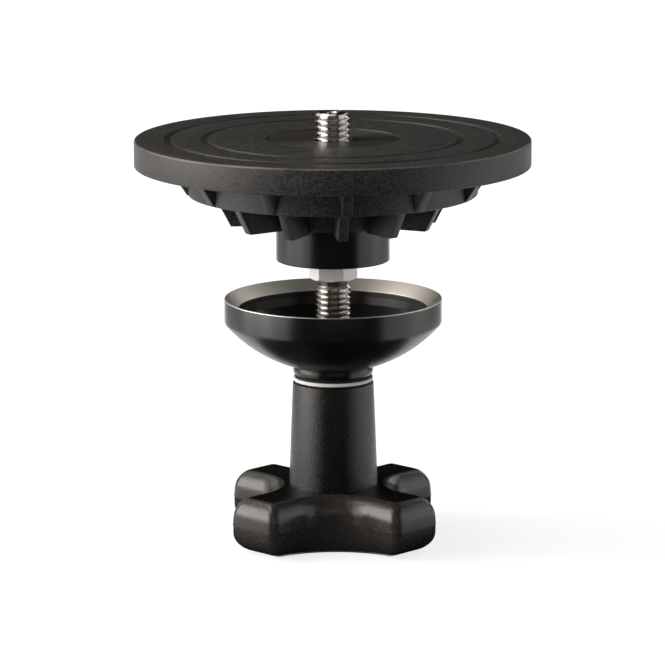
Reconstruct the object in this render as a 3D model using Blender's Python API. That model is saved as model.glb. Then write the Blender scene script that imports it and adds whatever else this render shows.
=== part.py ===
"""A flat base adapter: a plate with a stud for a camera head, and the tie-down that holds it in a bowl.

Metres, +Z up. The origin is on the stud's axis, on the face that the handle stands on. The stud's axis is Z.
Each piece is drawn in its own frame, with Z = 0 on the face that it is seated by, and placed by its object.
"""

import math

import bmesh
import bpy
from mathutils import Matrix

# Clearances

FIT_GAP = 0.0003
BORE_GAP = 0.0004
SEAT_GAP = 0.00005

# Handle: the four-lobed star and its neck, one moulding

STAR_HEIGHT = 0.01525
LOBES = 4
LOBE_REACH = 0.02835
LOBE_HALF_WIDTH = 0.0051
LOBE_CORNER = 0.0012
VALLEY_REACH = 0.0136
SHOULDER_RADIUS = 0.0061
SHOULDER_EDGE_ANGLE = math.radians(25)
CORNER_GROWTH = 0.5
UNDERSIDE_LOBE_REACH = 0.0262
UNDERSIDE_VALLEY_REACH = 0.0168
HANDLE_TURN = math.radians(0.8)
NECK_HEIGHT = 0.0286
NECK_FOOT_RADIUS = 0.0121
NECK_TOP_RADIUS = 0.011
NECK_EDGE = 0.0005
HANDLE_FLOOR = 0.005

# Threaded insert in the neck

INSERT_PROUD = 0.00035
INSERT_LENGTH = 0.0162
INSERT_ACROSS_FLATS = 0.0135
INSERT_FLANGE_RADIUS = 0.0088
INSERT_FLANGE_THICKNESS = 0.0015

# Washers between the handle and the cup

WASHER_RADIUS = 0.0108
THRUST_THICKNESS = 0.0009
FRICTION_THICKNESS = 0.0007
FRICTION_RADIUS = 0.0105

# Clamp cup

CUP_RADIUS = 0.0295
CUP_BELLY_RADIUS = 0.039
CUP_BELT_HEIGHT = 0.006567
CUP_RIM_WIDTH = 0.0004
CUP_BEVEL_WIDTH = 0.0034
CUP_BEVEL_DEPTH = 0.0028
CUP_LIP_DEPTH = 0.0015
CUP_WALL = 0.003
CUP_FLOOR = 0.0058
FOOT_RADIUS = 0.0106
FOOT_BEAD_RADIUS = 0.0109
FOOT_HEIGHT = 0.00236
FOOT_NECK_RADIUS = 0.0106

# Stud: 3/8-16 above, M10 below, with a hex collar between them

STUD_REACH = 0.007
HEAD_THREAD_RADIUS = 0.00476
HEAD_THREAD_PITCH = 0.0015875
HEAD_THREAD_LENGTH = 0.0095
CLAMP_THREAD_RADIUS = 0.0049
CLAMP_THREAD_PITCH = 0.0015
STUD_ENGAGEMENT = 0.0143
THREAD_DEPTH_SHARE = 0.6
THREAD_STEPS = 16
RUNOUT_LENGTH = 0.0013
HEX_ACROSS_FLATS = 0.0115
HEX_HEIGHT = 0.0053
HEX_TURN = math.radians(-5)
STUD_CHAMFER = 0.0006
CENTRE_HOLE_RADIUS = 0.0013

# Centre core: a boss with a flange let into the plate

CORE_BOSS_RADIUS = 0.0154
CORE_BOSS_LENGTH = 0.0289
CORE_FLANGE_RADIUS = 0.0177
CORE_FLANGE_THICKNESS = 0.004
CORE_EDGE = 0.0003
CORE_RECESS = 0.0003

# Plate: disc, ring, hub and ribs, one casting

PLATE_RADIUS = 0.0535
PLATE_THICKNESS = 0.0072
PLATE_TOP_EDGE = 0.0007
PLATE_BOTTOM_EDGE = 0.0003
GROOVE_RADII = (0.03455, 0.04445)
GROOVE_WIDTH = 0.0019
GROOVE_DEPTH = 0.0005
RING_RADIUS = 0.0392
RING_WALL = 0.0062
RING_DEPTH = 0.0078
RING_EDGE = 0.0003
HUB_WALL = 0.0028
HUB_RISE = 0.0006
RIBS = 12
FIRST_RIB_ANGLE = math.radians(-90 + 5.4)
GUSSET_SPREAD = 0.0052
GUSSET_EDGE_WIDTH = 0.0028
GUSSET_ROOT_WIDTH = 0.0044
RIB_THICKNESS = 0.0027
RIB_SETBACK = 0.0008
RIB_TAPER = 0.0045
RIB_FOOT_CORNER = 0.0012
RIB_DEPTH = 0.0085
RIB_SHORT_OF_BORE = 0.00056
GUSSET_ROOT_IN_RING = 0.000775
ROOT_IN_DISC = 0.0018

# Set screws that hold the core in the hub

SET_SCREW_RADIUS = 0.002
SET_SCREW_LENGTH = 0.005
SET_SCREW_BITE = 0.0019
SET_SCREW_CHAMFER = 0.0004
SET_SCREW_SOCKET = 0.002
SET_SCREW_BAYS = (4, 7)

# Rest position: how far the cup's rim is below the core, as the handle stands in the photograph

CLAMP_OPENING = 0.0105

# Smoothness of the turned pieces

PLATE_SEGMENTS = 72
CUP_SEGMENTS = 64
SMALL_SEGMENTS = 40

# Heights that follow from the sizes

HANDLE_TOP = STAR_HEIGHT + NECK_HEIGHT
THRUST_SEAT = HANDLE_TOP + INSERT_PROUD + SEAT_GAP
FRICTION_SEAT = THRUST_SEAT + THRUST_THICKNESS + SEAT_GAP
CUP_SEAT = FRICTION_SEAT + FRICTION_THICKNESS + SEAT_GAP
BELLY_CENTRE = FOOT_HEIGHT + math.sqrt(CUP_BELLY_RADIUS**2 - FOOT_NECK_RADIUS**2)
BELT_BOTTOM = BELLY_CENTRE - math.sqrt(CUP_BELLY_RADIUS**2 - CUP_RADIUS**2)
CUP_HEIGHT = BELT_BOTTOM + CUP_BELT_HEIGHT
CORE_BOTTOM = CUP_SEAT + CUP_HEIGHT + CLAMP_OPENING
PLATE_UNDERSIDE = CORE_BOTTOM + CORE_BOSS_LENGTH + CORE_FLANGE_THICKNESS + CORE_RECESS - PLATE_THICKNESS
HUB_BORE_RADIUS = CORE_BOSS_RADIUS + FIT_GAP
HUB_RADIUS = HUB_BORE_RADIUS + HUB_WALL
STUD_BORE_RADIUS = CLAMP_THREAD_RADIUS + BORE_GAP
LOWER_BORE_RADIUS = CLAMP_THREAD_RADIUS + 2 * FIT_GAP
SMALLEST_STEP = 1e-6


def clear_scene():
    for obj in list(bpy.data.objects):
        bpy.data.objects.remove(obj, do_unlink=True)


def material(name, colour, roughness, metallic):
    made = bpy.data.materials.new(name)
    made.use_nodes = True
    shader = made.node_tree.nodes["Principled BSDF"]
    shader.inputs["Base Color"].default_value = (*colour, 1)
    shader.inputs["Roughness"].default_value = roughness
    shader.inputs["Metallic"].default_value = metallic
    made.diffuse_color = (*colour, 1)
    return made


def empty(name, height, parent=None):
    """A frame on the stud's axis, at this height above the origin."""
    frame = bpy.data.objects.new(name, None)
    bpy.context.collection.objects.link(frame)
    frame.location.z = height - (parent.location.z if parent else 0)
    frame.parent = parent
    return frame


def piece(name, bm, finish=None, location=(0, 0, 0), rotation=(0, 0, 0), parent=None):
    """An object made from a bmesh, with its faces turned outwards."""
    bmesh.ops.remove_doubles(bm, verts=bm.verts, dist=SMALLEST_STEP)
    bmesh.ops.recalc_face_normals(bm, faces=bm.faces)
    mesh = bpy.data.meshes.new(name)
    bm.to_mesh(mesh)
    bm.free()
    mesh.shade_smooth()
    mesh.set_sharp_from_angle(angle=math.radians(30))
    if finish:
        mesh.materials.append(finish)
    obj = bpy.data.objects.new(name, mesh)
    bpy.context.collection.objects.link(obj)
    obj.location = location
    obj.rotation_euler = rotation
    obj.parent = parent
    return obj


def combine(obj, tool, operation):
    """A Boolean with a hidden helper, which moves with the piece that it shapes."""
    modifier = obj.modifiers.new(tool.name, "BOOLEAN")
    modifier.operation = operation
    modifier.object = tool
    tool.hide_render = True
    tool.display_type = "WIRE"
    if tool.parent is None:
        tool.parent = obj


def rounded(corners, closed=True, steps=3):
    """An outline's points, from (across, up, fillet) corners. A fillet is an arc tangent to both sides."""
    points = []
    for i, (x, y, radius) in enumerate(corners):
        if radius == 0 or (not closed and i in (0, len(corners) - 1)):
            points.append((x, y))
            continue
        before = corners[i - 1]
        after = corners[(i + 1) % len(corners)]
        back = math.atan2(before[1] - y, before[0] - x)
        ahead = math.atan2(after[1] - y, after[0] - x)
        between = (ahead - back + math.pi) % (2 * math.pi) - math.pi
        half = abs(between) / 2
        middle = back + between / 2
        centre_x = x + radius / math.sin(half) * math.cos(middle)
        centre_y = y + radius / math.sin(half) * math.sin(middle)
        sweep = math.copysign(math.pi - 2 * half, between)
        for step in range(steps + 1):
            turn = middle + math.pi + sweep * (0.5 - step / steps)
            points.append((centre_x + radius * math.cos(turn), centre_y + radius * math.sin(turn)))
    return points


def arc(centre_x, centre_y, radius, start, end, steps):
    """Points on an arc, angles in radians, its ends included."""
    angles = [start + (end - start) * step / steps for step in range(steps + 1)]
    return [(centre_x + radius * math.cos(a), centre_y + radius * math.sin(a)) for a in angles]


def turned(outline, segments, closed=True):
    """A shape turned about Z from (radius, height) points. An open outline starts and ends on Z."""
    bm = bmesh.new()
    points = [bm.verts.new((radius, 0, height)) for radius, height in outline]
    pairs = list(zip(points, points[1:]))
    if closed:
        pairs.append((points[-1], points[0]))
    edges = [bm.edges.new(pair) for pair in pairs]
    bmesh.ops.spin(
        bm,
        geom=points + edges,
        cent=(0, 0, 0),
        axis=(0, 0, 1),
        angle=2 * math.pi,
        steps=segments,
        use_merge=True,
    )
    return bm


def prism(outline, thickness):
    """An outline in the XZ plane, thickened evenly to both sides of it."""
    bm = bmesh.new()
    face = bm.faces.new([bm.verts.new((x, -thickness / 2, z)) for x, z in outline])
    grown = bmesh.ops.extrude_face_region(bm, geom=[face])
    moved = [v for v in grown["geom"] if isinstance(v, bmesh.types.BMVert)]
    bmesh.ops.translate(bm, verts=moved, vec=(0, thickness, 0))
    return bm


def hexagon(across_flats, bottom, top):
    """A hexagonal bar along Z, with two of its flats square to Y."""
    bm = bmesh.new()
    radius = across_flats / math.sqrt(3)
    bmesh.ops.create_cone(bm, cap_ends=True, segments=6, radius1=radius, radius2=radius, depth=top - bottom)
    bmesh.ops.rotate(bm, verts=bm.verts, cent=(0, 0, 0), matrix=Matrix.Rotation(math.pi / 6, 3, "Z"))
    bmesh.ops.translate(bm, verts=bm.verts, vec=(0, 0, (top + bottom) / 2))
    return bm


def screw_thread(radius, pitch, bottom, top):
    """A right-hand thread along Z, a turn longer at each end than the stretch it is cut down to."""
    depth = THREAD_DEPTH_SHARE * pitch
    crest = pitch / 6
    bm = bmesh.new()
    start = bottom - pitch
    tooth = ((radius, 0), (radius, crest), (radius - depth, (pitch + crest) / 2), (radius, pitch))
    points = [bm.verts.new((across, 0, start + up)) for across, up in tooth]
    edges = [bm.edges.new(pair) for pair in zip(points, points[1:])]
    turns = math.ceil((top - bottom) / pitch) + 1
    steps = turns * THREAD_STEPS
    bmesh.ops.spin(
        bm,
        geom=points + edges,
        cent=(0, 0, 0),
        axis=(0, 0, 1),
        dvec=(0, 0, pitch / THREAD_STEPS),
        angle=2 * math.pi * turns,
        steps=steps,
    )
    bmesh.ops.remove_doubles(bm, verts=bm.verts, dist=SMALLEST_STEP)
    bmesh.ops.holes_fill(bm, edges=bm.edges, sides=0)
    return bm


def valley_arc(reach, lobe_side, lobe_end):
    """A valley's centre, radius and half sweep. It runs into the lobes' sides, or their ends if shallow."""
    lobe_turn = math.pi / LOBES
    centre = (reach - lobe_side) / (1 - math.sin(lobe_turn))
    if centre * math.cos(lobe_turn) <= lobe_end:
        return centre, centre - reach, math.pi / 2 - lobe_turn
    out = lobe_end * math.cos(lobe_turn) + lobe_side * math.sin(lobe_turn) - reach
    across = lobe_end * math.sin(lobe_turn) - lobe_side * math.cos(lobe_turn)
    radius = (out**2 + across**2) / (2 * out)
    return reach + radius, radius, math.asin(across / radius)


def star_loop(outset, lobe_reach, valley_reach):
    """One level of the star: its lobes are widened by an outset and reach as far as their ends."""
    half_width = LOBE_HALF_WIDTH + outset
    corner = LOBE_CORNER + CORNER_GROWTH * outset
    out = lobe_reach - corner
    valley_centre, valley_radius, sweep = valley_arc(valley_reach, half_width, out)
    points = []
    for lobe in range(LOBES):
        valley_angle = 2 * math.pi * lobe / LOBES
        points += arc(
            valley_centre * math.cos(valley_angle),
            valley_centre * math.sin(valley_angle),
            valley_radius,
            valley_angle + math.pi + sweep,
            valley_angle + math.pi - sweep,
            6,
        )
        along = valley_angle + math.pi / LOBES
        for side in (-1, 1):
            across = side * (half_width - corner)
            points += arc(
                out * math.cos(along) - across * math.sin(along),
                out * math.sin(along) + across * math.cos(along),
                corner,
                along + (side - 1) * math.pi / 4,
                along + (side + 1) * math.pi / 4,
                3,
            )
    return points


def star():
    """The four-lobed grip: a crisp edge round each flat face, rounded over to a parting line half way up."""
    edge = math.sin(SHOULDER_EDGE_ANGLE)
    overhang = SHOULDER_RADIUS * (1 - edge)
    levels = []
    for step in range(6):
        angle = SHOULDER_EDGE_ANGLE + (math.pi / 2 - SHOULDER_EDGE_ANGLE) * step / 5
        outset = SHOULDER_RADIUS * (math.sin(angle) - edge)
        drop = SHOULDER_RADIUS * (math.cos(SHOULDER_EDGE_ANGLE) - math.cos(angle))
        levels.append((outset, drop))
    bm = bmesh.new()
    loops = []
    for outset, drop in levels:
        loops.append((STAR_HEIGHT - drop, star_loop(outset, LOBE_REACH + outset, VALLEY_REACH + outset)))
    for outset, drop in reversed(levels):
        share = outset / overhang
        lobe_reach = UNDERSIDE_LOBE_REACH + share * (LOBE_REACH + overhang - UNDERSIDE_LOBE_REACH)
        valley_reach = UNDERSIDE_VALLEY_REACH + share * (VALLEY_REACH + overhang - UNDERSIDE_VALLEY_REACH)
        loops.append((drop, star_loop(outset, lobe_reach, valley_reach)))
    rings = [[bm.verts.new((x, y, height)) for x, y in loop] for height, loop in loops]
    for upper, lower in zip(rings, rings[1:]):
        for i, vert in enumerate(upper):
            bm.faces.new((vert, lower[i], lower[(i + 1) % len(lower)], upper[(i + 1) % len(upper)]))
    bm.faces.new(rings[0])
    bm.faces.new(rings[-1])
    return bm


def make_handle(frame, finish):
    knob = piece("knob", star(), finish, parent=frame)
    sunk = STAR_HEIGHT / 2
    neck = rounded(
        [
            (0, sunk, 0),
            (NECK_FOOT_RADIUS, sunk, 0),
            (NECK_FOOT_RADIUS, STAR_HEIGHT, 0),
            (NECK_TOP_RADIUS, HANDLE_TOP, NECK_EDGE),
            (0, HANDLE_TOP, 0),
        ],
        closed=False,
    )
    combine(knob, piece("neck", turned(neck, SMALL_SEGMENTS, closed=False)), "UNION")
    flange_seat = HANDLE_TOP + INSERT_PROUD - INSERT_FLANGE_THICKNESS - SEAT_GAP
    flange_pocket = INSERT_FLANGE_RADIUS + FIT_GAP
    insert_end = HANDLE_TOP + INSERT_PROUD - INSERT_LENGTH - SEAT_GAP
    bore = [
        (0, HANDLE_FLOOR),
        (LOWER_BORE_RADIUS, HANDLE_FLOOR),
        (LOWER_BORE_RADIUS, flange_seat),
        (flange_pocket, flange_seat),
        (flange_pocket, HANDLE_TOP + INSERT_PROUD),
        (0, HANDLE_TOP + INSERT_PROUD),
    ]
    combine(knob, piece("knob_bore", turned(bore, SMALL_SEGMENTS, closed=False)), "DIFFERENCE")
    pocket = hexagon(INSERT_ACROSS_FLATS + 2 * FIT_GAP, insert_end, flange_seat + SEAT_GAP)
    combine(knob, piece("insert_pocket", pocket), "DIFFERENCE")
    return knob


def make_insert(frame, finish):
    """A flanged insert with a hexagonal body, so that it can't turn in the moulding."""
    flange_bottom = INSERT_LENGTH - INSERT_FLANGE_THICKNESS
    seat = HANDLE_TOP + INSERT_PROUD - INSERT_LENGTH
    body = hexagon(INSERT_ACROSS_FLATS, 0, INSERT_LENGTH - INSERT_FLANGE_THICKNESS / 2)
    insert = piece("threaded_insert", body, finish, location=(0, 0, seat), parent=frame)
    flange = [
        (0, flange_bottom),
        (INSERT_FLANGE_RADIUS, flange_bottom),
        (INSERT_FLANGE_RADIUS, INSERT_LENGTH),
        (0, INSERT_LENGTH),
    ]
    combine(insert, piece("insert_flange", turned(flange, SMALL_SEGMENTS, closed=False)), "UNION")
    radius = CLAMP_THREAD_RADIUS + FIT_GAP
    bore = [
        (0, -FIT_GAP),
        (radius, -FIT_GAP),
        (radius, INSERT_LENGTH + FIT_GAP),
        (0, INSERT_LENGTH + FIT_GAP),
    ]
    combine(insert, piece("insert_bore", turned(bore, SMALL_SEGMENTS, closed=False)), "DIFFERENCE")
    return insert


def make_washer(name, radius, thickness, seat, frame, finish):
    outline = [
        (STUD_BORE_RADIUS, 0),
        (radius, 0),
        (radius, thickness),
        (STUD_BORE_RADIUS, thickness),
    ]
    return piece(name, turned(outline, SMALL_SEGMENTS), finish, location=(0, 0, seat), parent=frame)


def make_cup(frame, finish):
    """A turned cup: a rounded belly under a straight belt, and a bevelled rim round the bowl."""
    belly_start = math.asin(FOOT_NECK_RADIUS / CUP_BELLY_RADIUS) - math.pi / 2
    belly_end = math.asin(CUP_RADIUS / CUP_BELLY_RADIUS) - math.pi / 2
    belly = arc(0, BELLY_CENTRE, CUP_BELLY_RADIUS, belly_start, belly_end, 9)
    lip_radius = CUP_RADIUS - CUP_RIM_WIDTH - CUP_BEVEL_WIDTH
    lip_bottom = CUP_HEIGHT - CUP_BEVEL_DEPTH - CUP_LIP_DEPTH
    bowl_radius = CUP_BELLY_RADIUS - CUP_WALL
    bowl_start = math.asin((lip_radius - FIT_GAP) / bowl_radius) - math.pi / 2
    bowl_end = -math.asin((BELLY_CENTRE - CUP_FLOOR) / bowl_radius)
    bowl = arc(0, BELLY_CENTRE, bowl_radius, bowl_start, bowl_end, 6)
    outline = [
        (STUD_BORE_RADIUS, 0),
        (FOOT_RADIUS, 0),
        (FOOT_BEAD_RADIUS, FOOT_HEIGHT / 3),
        (FOOT_BEAD_RADIUS, FOOT_HEIGHT * 2 / 3),
    ]
    outline += belly
    outline += [
        (CUP_RADIUS, CUP_HEIGHT - CUP_RIM_WIDTH / 2),
        (CUP_RADIUS - CUP_RIM_WIDTH / 2, CUP_HEIGHT),
        (CUP_RADIUS - CUP_RIM_WIDTH, CUP_HEIGHT),
        (lip_radius, CUP_HEIGHT - CUP_BEVEL_DEPTH),
        (lip_radius, lip_bottom),
    ]
    outline += bowl
    outline += [(STUD_BORE_RADIUS, CUP_FLOOR)]
    return piece("clamp_cup", turned(outline, CUP_SEGMENTS), finish, location=(0, 0, CUP_SEAT), parent=frame)


def make_stud(frame, finish):
    """One steel stud. Its frame is on the core's underside, where the hex collar is pulled up tight."""
    head_end = PLATE_UNDERSIDE + PLATE_THICKNESS + STUD_REACH - CORE_BOTTOM
    head_start = head_end - HEAD_THREAD_LENGTH
    clamp_start = -SEAT_GAP - HEX_HEIGHT - RUNOUT_LENGTH
    clamp_end = HANDLE_TOP - STUD_ENGAGEMENT - CORE_BOTTOM
    head_root = HEAD_THREAD_RADIUS - THREAD_DEPTH_SHARE * HEAD_THREAD_PITCH
    clamp_root = CLAMP_THREAD_RADIUS - THREAD_DEPTH_SHARE * CLAMP_THREAD_PITCH
    shank = [
        (0, clamp_start - CLAMP_THREAD_PITCH),
        (clamp_root - FIT_GAP, clamp_start - CLAMP_THREAD_PITCH),
        (clamp_root + FIT_GAP / 2, clamp_start + SEAT_GAP),
        (clamp_root + FIT_GAP / 2, -SEAT_GAP - HEX_HEIGHT / 2),
        (HEAD_THREAD_RADIUS, -SEAT_GAP - HEX_HEIGHT / 2),
        (HEAD_THREAD_RADIUS, head_start),
        (head_root - FIT_GAP, head_start + HEAD_THREAD_PITCH),
        (0, head_start + HEAD_THREAD_PITCH),
    ]
    stud = piece(
        "stud",
        turned(shank, SMALL_SEGMENTS, closed=False),
        finish,
        location=(0, 0, CORE_BOTTOM - frame.location.z),
        parent=frame,
    )
    collar = piece(
        "hex_collar",
        hexagon(HEX_ACROSS_FLATS, -SEAT_GAP - HEX_HEIGHT, -SEAT_GAP),
        rotation=(0, 0, HEX_TURN),
    )
    corner_radius = HEX_ACROSS_FLATS / math.sqrt(3) + STUD_CHAMFER / 2
    face_radius = HEX_ACROSS_FLATS / 2 - STUD_CHAMFER / 2
    face_bottom = -SEAT_GAP - HEX_HEIGHT
    chamfer = (corner_radius - face_radius) * math.tan(math.radians(30))
    rounding = [
        (0, face_bottom - SEAT_GAP),
        (face_radius, face_bottom - SEAT_GAP),
        (corner_radius, face_bottom + chamfer),
        (corner_radius, FIT_GAP),
        (0, FIT_GAP),
    ]
    combine(collar, piece("collar_chamfer", turned(rounding, SMALL_SEGMENTS, closed=False)), "INTERSECT")
    combine(stud, collar, "UNION")
    head_thread = piece(
        "head_thread",
        screw_thread(HEAD_THREAD_RADIUS, HEAD_THREAD_PITCH, head_start, head_end),
    )
    head_blank = [
        (0, head_start + SEAT_GAP),
        (HEAD_THREAD_RADIUS + SEAT_GAP, head_start + SEAT_GAP),
        (HEAD_THREAD_RADIUS + SEAT_GAP, head_end - STUD_CHAMFER),
        (HEAD_THREAD_RADIUS - STUD_CHAMFER, head_end),
        (CENTRE_HOLE_RADIUS, head_end),
        (0, head_end - CENTRE_HOLE_RADIUS),
    ]
    combine(head_thread, piece("head_blank", turned(head_blank, SMALL_SEGMENTS, closed=False)), "INTERSECT")
    combine(stud, head_thread, "UNION")
    clamp_thread = piece(
        "clamp_thread",
        screw_thread(CLAMP_THREAD_RADIUS, CLAMP_THREAD_PITCH, clamp_end, clamp_start),
    )
    clamp_blank = [
        (0, clamp_end),
        (CLAMP_THREAD_RADIUS - 2 * STUD_CHAMFER, clamp_end),
        (CLAMP_THREAD_RADIUS + SEAT_GAP, clamp_end + 2 * STUD_CHAMFER),
        (CLAMP_THREAD_RADIUS + SEAT_GAP, clamp_start - 2 * STUD_CHAMFER),
        (clamp_root + SEAT_GAP, clamp_start),
        (0, clamp_start),
    ]
    blank = piece("clamp_blank", turned(clamp_blank, SMALL_SEGMENTS, closed=False))
    combine(clamp_thread, blank, "INTERSECT")
    combine(stud, clamp_thread, "UNION")
    return stud


def make_core(frame, finish):
    length = CORE_BOSS_LENGTH + CORE_FLANGE_THICKNESS
    outline = rounded(
        [
            (STUD_BORE_RADIUS, 0, 0),
            (CORE_BOSS_RADIUS, 0, CORE_EDGE),
            (CORE_BOSS_RADIUS, CORE_BOSS_LENGTH, 0),
            (CORE_FLANGE_RADIUS, CORE_BOSS_LENGTH, 0),
            (CORE_FLANGE_RADIUS, length, CORE_EDGE / 2),
            (STUD_BORE_RADIUS, length, 0),
        ],
        steps=2,
    )
    height = CORE_BOTTOM - frame.location.z
    return piece("centre_core", turned(outline, CUP_SEGMENTS), finish, location=(0, 0, height), parent=frame)


def plate_outline():
    """The plate's turned outline. Z = 0 is the underside of its disc."""
    top = PLATE_THICKNESS
    counterbore = CORE_FLANGE_RADIUS + FIT_GAP
    counterbore_floor = top - CORE_RECESS - CORE_FLANGE_THICKNESS - SEAT_GAP
    hub_bottom = -RING_DEPTH - RIB_DEPTH + HUB_RISE
    ring_inside = RING_RADIUS - RING_WALL
    corners = [
        (HUB_BORE_RADIUS, counterbore_floor, 0),
        (HUB_BORE_RADIUS, hub_bottom, 0),
        (HUB_RADIUS, hub_bottom, 0),
        (HUB_RADIUS, 0, 0),
        (ring_inside, 0, 0),
        (ring_inside, -RING_DEPTH, 0),
        (RING_RADIUS, -RING_DEPTH, RING_EDGE),
        (RING_RADIUS, 0, 0),
        (PLATE_RADIUS, 0, PLATE_BOTTOM_EDGE),
        (PLATE_RADIUS, top, PLATE_TOP_EDGE),
    ]
    for radius in reversed(GROOVE_RADII):
        outer = radius + GROOVE_WIDTH / 2
        inner = radius - GROOVE_WIDTH / 2
        corners += [
            (outer, top, 0),
            (outer - GROOVE_DEPTH / 2, top - GROOVE_DEPTH, 0),
            (inner + GROOVE_DEPTH / 2, top - GROOVE_DEPTH, 0),
            (inner, top, 0),
        ]
    corners += [(counterbore, top, 0), (counterbore, counterbore_floor, 0)]
    return rounded(corners)


def rib_outline():
    """A rib seen from the side: it runs from the hub to the ring, and below the ring as a tapering web."""
    into_hub = HUB_RADIUS - HUB_WALL + RIB_SHORT_OF_BORE
    into_ring = RING_RADIUS - RING_WALL / 2
    into_disc = ROOT_IN_DISC
    foot = -RING_DEPTH - RIB_DEPTH
    top_reach = RING_RADIUS - RING_WALL - RIB_SETBACK
    return rounded(
        [
            (into_hub, into_disc, 0),
            (into_ring, into_disc, 0),
            (into_ring, -RING_DEPTH + SEAT_GAP, 0),
            (top_reach, -RING_DEPTH + SEAT_GAP, 0),
            (top_reach - RIB_TAPER, foot, RIB_FOOT_CORNER),
            (into_hub, foot, 0),
        ]
    )


def gusset():
    """A rib's outer end: a triangle between disc and ring, which runs out flush with the ring's foot.

    It widens from its slanted face inwards, so that the casting draws from its die.
    """
    root = RING_RADIUS - GUSSET_ROOT_IN_RING
    into_disc = ROOT_IN_DISC
    foot = -RING_DEPTH + SEAT_GAP
    slope = (GUSSET_SPREAD - SEAT_GAP) / -foot
    outline = [
        (root, into_disc),
        (RING_RADIUS + GUSSET_SPREAD + slope * into_disc, into_disc),
        (RING_RADIUS + SEAT_GAP, foot),
        (root, foot),
    ]
    bm = prism(outline, GUSSET_EDGE_WIDTH)
    widening = (GUSSET_ROOT_WIDTH / GUSSET_EDGE_WIDTH - 1) / GUSSET_SPREAD
    for vert in bm.verts:
        behind_face = RING_RADIUS + GUSSET_SPREAD + slope * vert.co.z - vert.co.x
        vert.co.y *= 1 + widening * max(behind_face, 0)
    return bm


def make_plate(frame, finish):
    height = PLATE_UNDERSIDE - frame.location.z
    disc = turned(plate_outline(), PLATE_SEGMENTS)
    plate = piece("top_plate", disc, finish, location=(0, 0, height), parent=frame)
    for number in range(RIBS):
        angle = FIRST_RIB_ANGLE + 2 * math.pi * number / RIBS
        rib = piece(f"rib_{number + 1}", prism(rib_outline(), RIB_THICKNESS), rotation=(0, 0, angle))
        combine(plate, rib, "UNION")
        combine(plate, piece(f"gusset_{number + 1}", gusset(), rotation=(0, 0, angle)), "UNION")
    return plate


def set_screw_outline(radius, length):
    return [
        (0, 0),
        (radius - SET_SCREW_CHAMFER, 0),
        (radius, SET_SCREW_CHAMFER),
        (radius, length - SET_SCREW_CHAMFER),
        (radius - SET_SCREW_CHAMFER, length),
        (0, length),
    ]


def make_set_screws(frame, plate, core, finish):
    """Two grub screws that run in through the hub, between ribs at the back, and bite into the core."""
    tip = CORE_BOSS_RADIUS - SET_SCREW_BITE
    level = PLATE_UNDERSIDE - RING_DEPTH - RIB_DEPTH / 2 - frame.location.z
    for number, bay in enumerate(SET_SCREW_BAYS, 1):
        angle = FIRST_RIB_ANGLE + 2 * math.pi * (bay + 0.5) / RIBS
        inward = (0, math.pi / 2, angle)
        outline = set_screw_outline(SET_SCREW_RADIUS, SET_SCREW_LENGTH)
        screw = piece(
            f"set_screw_{number}",
            turned(outline, 20, closed=False),
            finish,
            location=(tip * math.cos(angle), tip * math.sin(angle), level),
            rotation=inward,
            parent=frame,
        )
        socket = hexagon(SET_SCREW_SOCKET, SET_SCREW_LENGTH / 2, SET_SCREW_LENGTH + FIT_GAP)
        combine(screw, piece(f"screw_socket_{number}", socket), "DIFFERENCE")
        start = tip - FIT_GAP
        hole = set_screw_outline(SET_SCREW_RADIUS + FIT_GAP, HUB_RADIUS + HUB_WALL - start)
        cutter = piece(
            f"screw_hole_{number}",
            turned(hole, 20, closed=False),
            location=(start * math.cos(angle), start * math.sin(angle), level),
            rotation=inward,
            parent=frame,
        )
        combine(plate, cutter, "DIFFERENCE")
        combine(core, cutter, "DIFFERENCE")


def main():
    clear_scene()
    casting = material("powder_coated_casting", (0.011, 0.0105, 0.01), 0.5, 0.0)
    anodised = material("black_anodised_aluminium", (0.009, 0.009, 0.009), 0.35, 0.3)
    steel = material("bright_steel", (0.62, 0.61, 0.59), 0.22, 1.0)
    nylon = material("moulded_nylon", (0.012, 0.0115, 0.011), 0.5, 0.0)
    white_nylon = material("white_nylon", (0.85, 0.84, 0.81), 0.4, 0.0)
    rubber = material("black_fibre", (0.006, 0.006, 0.006), 0.7, 0.0)
    brass = material("brass", (0.55, 0.42, 0.18), 0.35, 1.0)
    blackened = material("blackened_steel", (0.03, 0.03, 0.032), 0.4, 0.8)

    adapter = empty("adapter_frame", CORE_BOTTOM)
    thrust = empty("thrust_frame", 0)
    handle = empty("handle_frame", 0, thrust)
    handle.rotation_euler.z = HANDLE_TURN
    friction = empty("friction_frame", 0, thrust)
    cup = empty("cup_frame", 0, friction)

    plate = make_plate(adapter, casting)
    core = make_core(adapter, anodised)
    make_set_screws(adapter, plate, core, blackened)
    make_stud(adapter, steel)
    make_washer("thrust_washer", WASHER_RADIUS, THRUST_THICKNESS, THRUST_SEAT, thrust, white_nylon)
    make_washer("friction_washer", FRICTION_RADIUS, FRICTION_THICKNESS, FRICTION_SEAT, friction, rubber)
    make_cup(cup, anodised)
    make_handle(handle, nylon)
    make_insert(handle, brass)


main()
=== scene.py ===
"""A flat base adapter for camera heads, dressed over its solid model.

Metres, +Z up. The stud's axis is Z, and the handle stands on Z = 0. The photographer stands on the -Y side.
"""

import math

import bmesh
import bpy
from mathutils import Matrix, Vector


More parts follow.
